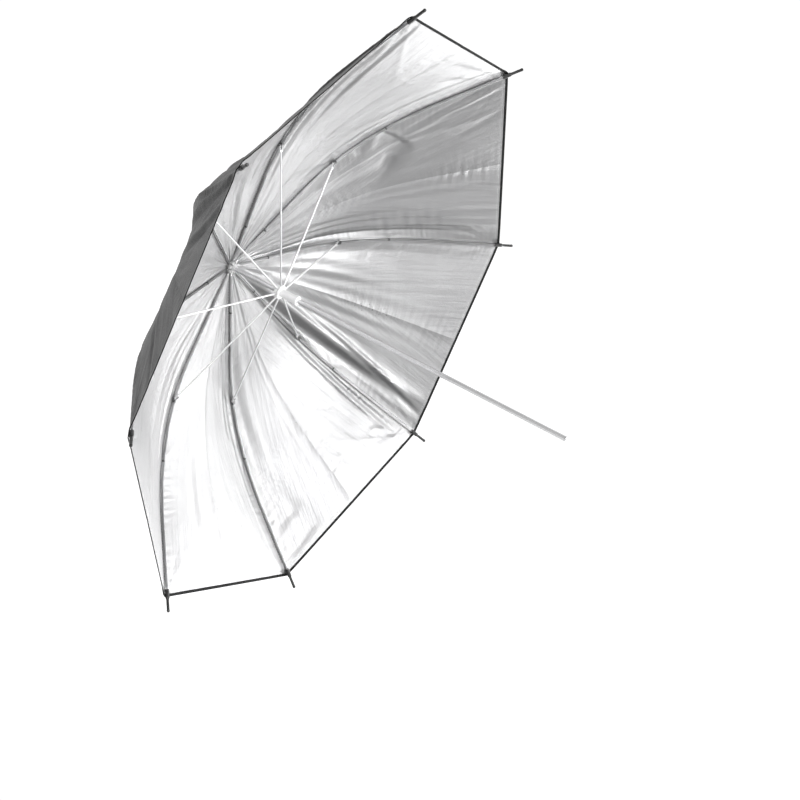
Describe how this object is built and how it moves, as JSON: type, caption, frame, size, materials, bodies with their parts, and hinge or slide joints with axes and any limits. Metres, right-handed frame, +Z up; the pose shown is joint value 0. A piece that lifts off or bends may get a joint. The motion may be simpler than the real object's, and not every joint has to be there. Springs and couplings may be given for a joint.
{
  "type": "umbrella reflector",
  "caption": "Folding photographic umbrella reflector: silver-lined black canopy on curved ribs with stretchers, a sliding runner and a straight steel shaft.",
  "frame": {"origin": "on the shaft's axis where a light stand's bracket grips the shaft, 390 mm from the crown's hinge plane", "axes": "+Y along the shaft towards the crown, -Y towards the free end and the side the canopy opens to; +Z up, through the middle of a gore"},
  "size_m": [0.9764, 0.668, 0.9764],
  "materials": {
    "steel": "bright plated tube",
    "white_plastic": "smooth white moulding",
    "black_plastic": "satin black moulding",
    "wire": "drawn wire and spring steel",
    "rib_steel": "rolled steel channel",
    "rib_fittings": "dark plated steel",
    "stretcher_steel": "light grey coat on steel",
    "canopy": "silver coated satin inside, black outside",
    "black_fabric": "black woven nylon"
  },
  "bodies": {
    "frame": {"shaft": "steel", "shaft_end_cap": "steel", "crown_notch": "white_plastic", "crown_wire": "wire", "crown_patch": "black_fabric", "crown_washer": "black_plastic", "ferrule": "black_plastic"},
    "rib_1": {"rib_1": "rib_steel", "rib_saddle_1": "rib_fittings", "rivet_1": "rib_fittings", "rib_tip_1": "black_plastic", "canopy_panel_1": "canopy"},
    "stretcher_1": {"stretcher_1": "stretcher_steel"},
    "rib_2": {"rib_2": "rib_steel", "rib_saddle_2": "rib_fittings", "rivet_2": "rib_fittings", "rib_tip_2": "black_plastic", "canopy_panel_2": "canopy"},
    "stretcher_2": {"stretcher_2": "stretcher_steel"},
    "rib_3": {"rib_3": "rib_steel", "rib_saddle_3": "rib_fittings", "rivet_3": "rib_fittings", "rib_tip_3": "black_plastic", "canopy_panel_3": "canopy"},
    "stretcher_3": {"stretcher_3": "stretcher_steel"},
    "rib_4": {"rib_4": "rib_steel", "rib_saddle_4": "rib_fittings", "rivet_4": "rib_fittings", "rib_tip_4": "black_plastic", "canopy_panel_4": "canopy"},
    "stretcher_4": {"stretcher_4": "stretcher_steel"},
    "rib_5": {"rib_5": "rib_steel", "rib_saddle_5": "rib_fittings", "rivet_5": "rib_fittings", "rib_tip_5": "black_plastic", "canopy_panel_5": "canopy"},
    "stretcher_5": {"stretcher_5": "stretcher_steel"},
    "rib_6": {"rib_6": "rib_steel", "rib_saddle_6": "rib_fittings", "rivet_6": "rib_fittings", "rib_tip_6": "black_plastic", "canopy_panel_6": "canopy"},
    "stretcher_6": {"stretcher_6": "stretcher_steel"},
    "rib_7": {"rib_7": "rib_steel", "rib_saddle_7": "rib_fittings", "rivet_7": "rib_fittings", "rib_tip_7": "black_plastic", "canopy_panel_7": "canopy"},
    "stretcher_7": {"stretcher_7": "stretcher_steel"},
    "rib_8": {"rib_8": "rib_steel", "rib_saddle_8": "rib_fittings", "rivet_8": "rib_fittings", "rib_tip_8": "black_plastic", "canopy_panel_8": "canopy"},
    "stretcher_8": {"stretcher_8": "stretcher_steel"},
    "runner": {"runner": "white_plastic", "runner_wire": "wire"},
    "catch": {"catch_spring": "wire"}
  },
  "joints": [
    {"name": "canopy_fold", "type": "hinge", "parent": "frame", "child": "rib_1", "pos_m": [-0.00344, 0.39, 0.00831], "axis": [0.9239, 0, 0.3827], "range_deg": [0, 59.5], "deforming": ["canopy_panel_1"]},
    {"name": "rib_2_fold", "type": "hinge", "parent": "frame", "child": "rib_2", "pos_m": [0.00344, 0.39, 0.00831], "axis": [0.9239, 0, -0.3827], "range_deg": [0, 59.5], "deforming": ["canopy_panel_2"]},
    {"name": "rib_3_fold", "type": "hinge", "parent": "frame", "child": "rib_3", "pos_m": [0.00831, 0.39, 0.00344], "axis": [0.3827, 0, -0.9239], "range_deg": [0, 59.5], "deforming": ["canopy_panel_3"]},
    {"name": "rib_4_fold", "type": "hinge", "parent": "frame", "child": "rib_4", "pos_m": [0.00831, 0.39, -0.00344], "axis": [-0.3827, 0, -0.9239], "range_deg": [0, 59.5], "deforming": ["canopy_panel_4"]},
    {"name": "rib_5_fold", "type": "hinge", "parent": "frame", "child": "rib_5", "pos_m": [0.00344, 0.39, -0.00831], "axis": [-0.9239, 0, -0.3827], "range_deg": [0, 59.5], "deforming": ["canopy_panel_5"]},
    {"name": "rib_6_fold", "type": "hinge", "parent": "frame", "child": "rib_6", "pos_m": [-0.00344, 0.39, -0.00831], "axis": [-0.9239, 0, 0.3827], "range_deg": [0, 59.5], "deforming": ["canopy_panel_6"]},
    {"name": "rib_7_fold", "type": "hinge", "parent": "frame", "child": "rib_7", "pos_m": [-0.00831, 0.39, -0.00344], "axis": [-0.3827, 0, 0.9239], "range_deg": [0, 59.5], "deforming": ["canopy_panel_7"]},
    {"name": "rib_8_fold", "type": "hinge", "parent": "frame", "child": "rib_8", "pos_m": [-0.00831, 0.39, 0.00344], "axis": [0.3827, 0, 0.9239], "range_deg": [0, 59.5], "deforming": ["canopy_panel_8"]},
    {"name": "stretcher_1_pivot", "type": "hinge", "parent": "rib_1", "child": "stretcher_1", "pos_m": [-0.09146, 0.33925, 0.22081], "axis": [0.9239, 0, 0.3827], "range_deg": [-119, 0]},
    {"name": "stretcher_2_pivot", "type": "hinge", "parent": "rib_2", "child": "stretcher_2", "pos_m": [0.09146, 0.33925, 0.22081], "axis": [0.9239, 0, -0.3827], "range_deg": [-119, 0]},
    {"name": "stretcher_3_pivot", "type": "hinge", "parent": "rib_3", "child": "stretcher_3", "pos_m": [0.22081, 0.33925, 0.09146], "axis": [0.3827, 0, -0.9239], "range_deg": [-119, 0]},
    {"name": "stretcher_4_pivot", "type": "hinge", "parent": "rib_4", "child": "stretcher_4", "pos_m": [0.22081, 0.33925, -0.09146], "axis": [-0.3827, 0, -0.9239], "range_deg": [-119, 0]},
    {"name": "stretcher_5_pivot", "type": "hinge", "parent": "rib_5", "child": "stretcher_5", "pos_m": [0.09146, 0.33925, -0.22081], "axis": [-0.9239, 0, -0.3827], "range_deg": [-119, 0]},
    {"name": "stretcher_6_pivot", "type": "hinge", "parent": "rib_6", "child": "stretcher_6", "pos_m": [-0.09146, 0.33925, -0.22081], "axis": [-0.9239, 0, 0.3827], "range_deg": [-119, 0]},
    {"name": "stretcher_7_pivot", "type": "hinge", "parent": "rib_7", "child": "stretcher_7", "pos_m": [-0.22081, 0.33925, -0.09146], "axis": [-0.3827, 0, 0.9239], "range_deg": [-119, 0]},
    {"name": "stretcher_8_pivot", "type": "hinge", "parent": "rib_8", "child": "stretcher_8", "pos_m": [-0.22081, 0.33925, 0.09146], "axis": [0.3827, 0, 0.9239], "range_deg": [-119, 0]},
    {"name": "runner_pivot", "type": "hinge", "parent": "stretcher_1", "child": "runner", "pos_m": [-0.00344, 0.28851, 0.00831], "axis": [0.9239, 0, 0.3827], "range_deg": [0, 59.5]},
    {"name": "catch_press", "type": "slide", "parent": "frame", "child": "catch", "axis": [-1, 0, 0], "range_m": [0, 0.0012], "stiffness_N_per_m": 500}
  ],
  "couplings": [
    {"joint": "rib_2_fold", "follows": "canopy_fold", "ratio": 1},
    {"joint": "rib_3_fold", "follows": "canopy_fold", "ratio": 1},
    {"joint": "rib_4_fold", "follows": "canopy_fold", "ratio": 1},
    {"joint": "rib_5_fold", "follows": "canopy_fold", "ratio": 1},
    {"joint": "rib_6_fold", "follows": "canopy_fold", "ratio": 1},
    {"joint": "rib_7_fold", "follows": "canopy_fold", "ratio": 1},
    {"joint": "rib_8_fold", "follows": "canopy_fold", "ratio": 1},
    {"joint": "stretcher_1_pivot", "follows": "canopy_fold", "ratio": -2},
    {"joint": "stretcher_2_pivot", "follows": "canopy_fold", "ratio": -2},
    {"joint": "stretcher_3_pivot", "follows": "canopy_fold", "ratio": -2},
    {"joint": "stretcher_4_pivot", "follows": "canopy_fold", "ratio": -2},
    {"joint": "stretcher_5_pivot", "follows": "canopy_fold", "ratio": -2},
    {"joint": "stretcher_6_pivot", "follows": "canopy_fold", "ratio": -2},
    {"joint": "stretcher_7_pivot", "follows": "canopy_fold", "ratio": -2},
    {"joint": "stretcher_8_pivot", "follows": "canopy_fold", "ratio": -2},
    {"joint": "runner_pivot", "follows": "canopy_fold", "ratio": 1}
  ]
}
